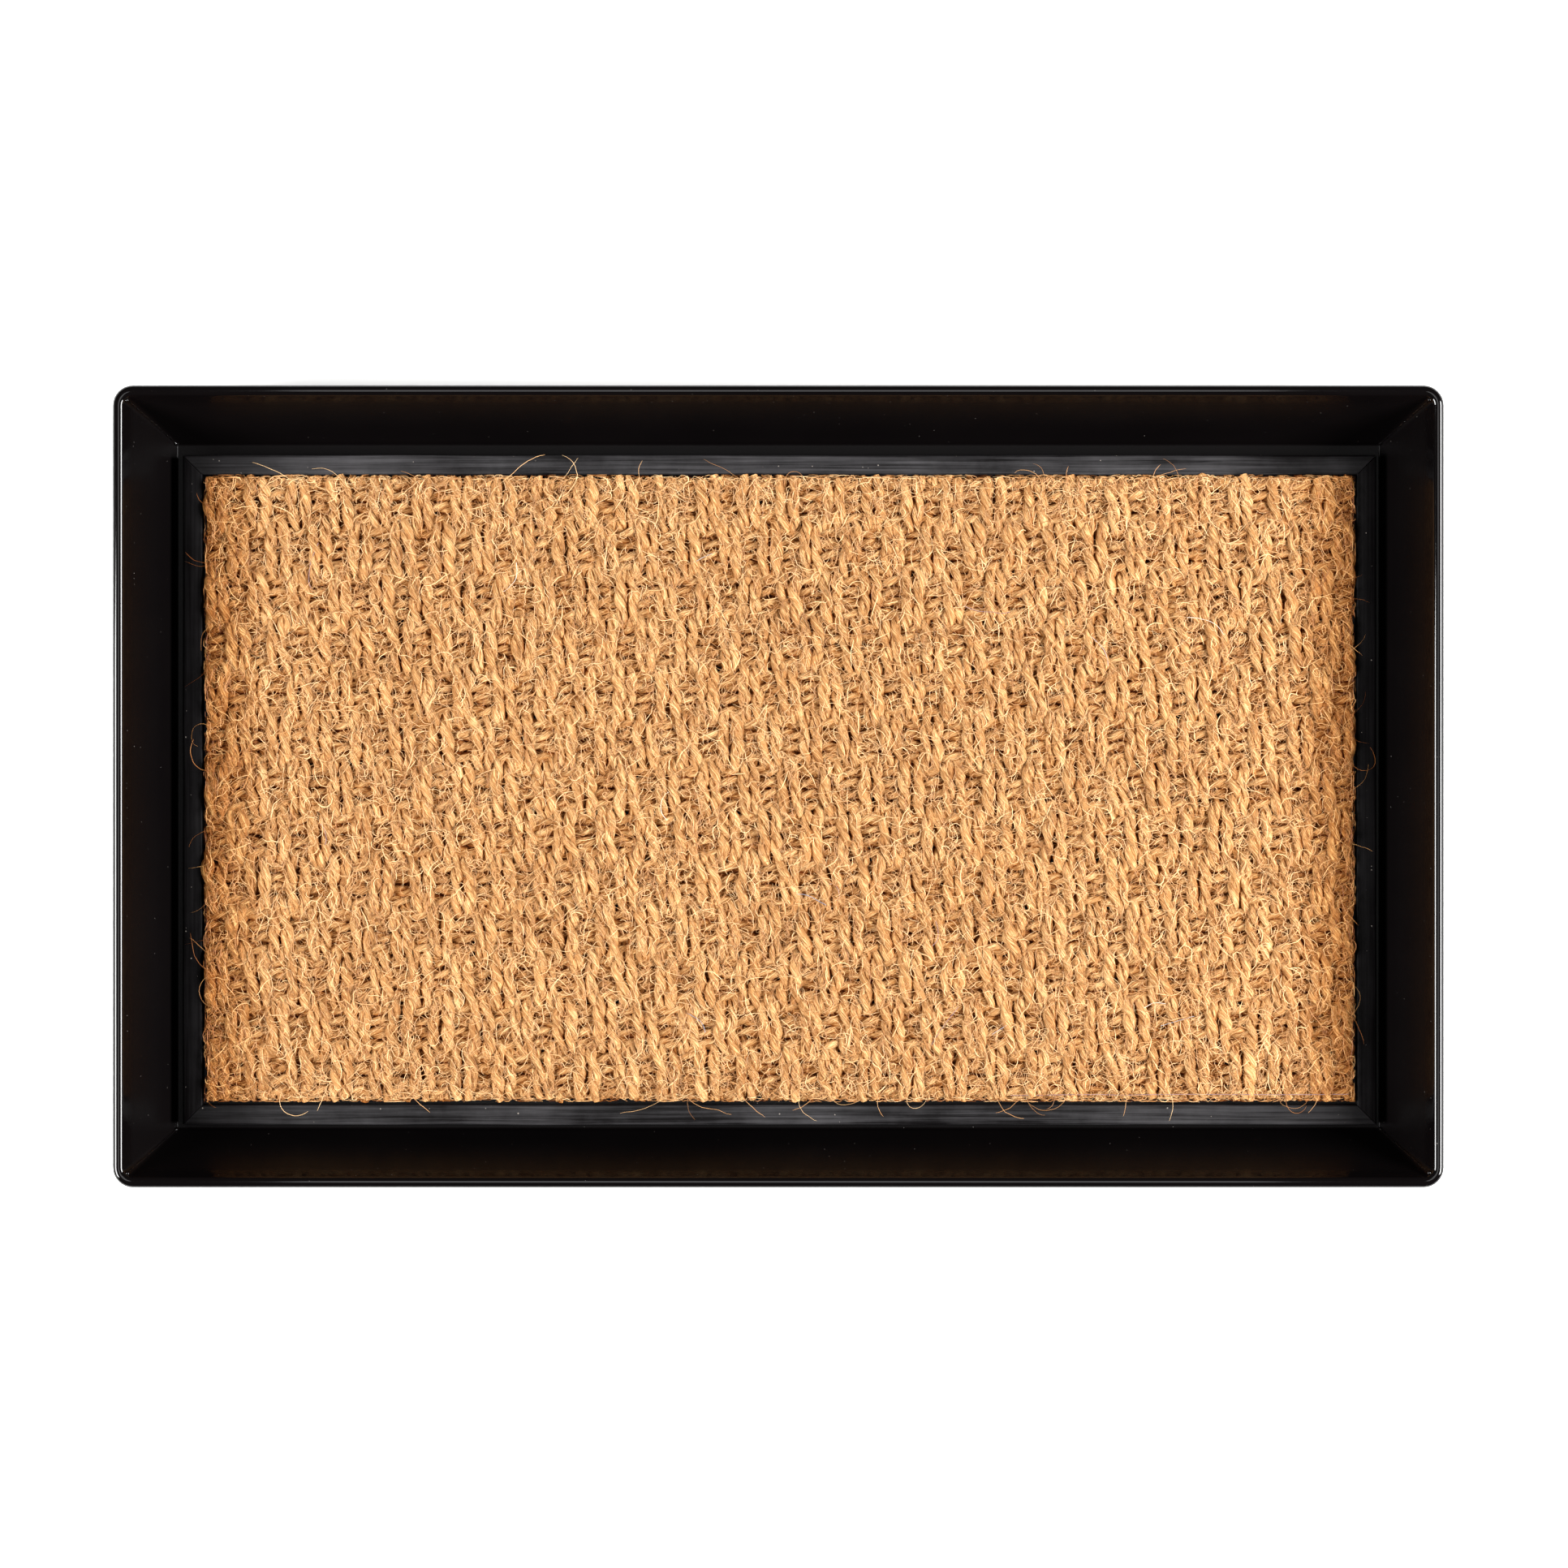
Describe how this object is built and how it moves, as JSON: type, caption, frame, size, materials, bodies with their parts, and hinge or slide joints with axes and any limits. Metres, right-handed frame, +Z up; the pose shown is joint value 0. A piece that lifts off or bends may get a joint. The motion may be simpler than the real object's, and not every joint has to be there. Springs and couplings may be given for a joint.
{
  "type": "door mat",
  "caption": "Door mat: a woven coir cloth in a mitred rubber frame, lying loose in a low black steel tray with flared walls and a rolled, wired rim.",
  "frame": {"origin": "middle of the tray's underside", "axes": "+X along the length, +Y across the width towards the back, +Z up"},
  "size_m": [0.622, 0.375, 0.045],
  "materials": {
    "black_paint": "satin black paint",
    "galvanised_wire": "dull galvanised",
    "rubber": "matt, a little dusty",
    "coir": "coarse natural fibre"
  },
  "bodies": {
    "tray": {"tray_pan": "black_paint", "rim_wire": "galvanised_wire"},
    "mat": {"rubber_base": "rubber", "frame_strip_front": "rubber", "frame_strip_right": "rubber", "frame_strip_back": "rubber", "frame_strip_left": "rubber", "coir_warp": "coir", "coir_weft_01": "coir", "coir_weft_02": "coir", "coir_weft_03": "coir", "coir_weft_04": "coir", "coir_weft_05": "coir", "coir_weft_06": "coir", "coir_weft_07": "coir", "coir_weft_08": "coir", "coir_weft_09": "coir", "coir_weft_10": "coir", "coir_weft_11": "coir", "coir_weft_12": "coir", "coir_weft_13": "coir"}
  },
  "joints": [
    {"name": "mat_lift", "type": "slide", "parent": "tray", "child": "mat", "axis": [0, 0, 1], "range_m": [0, 0.08]}
  ]
}
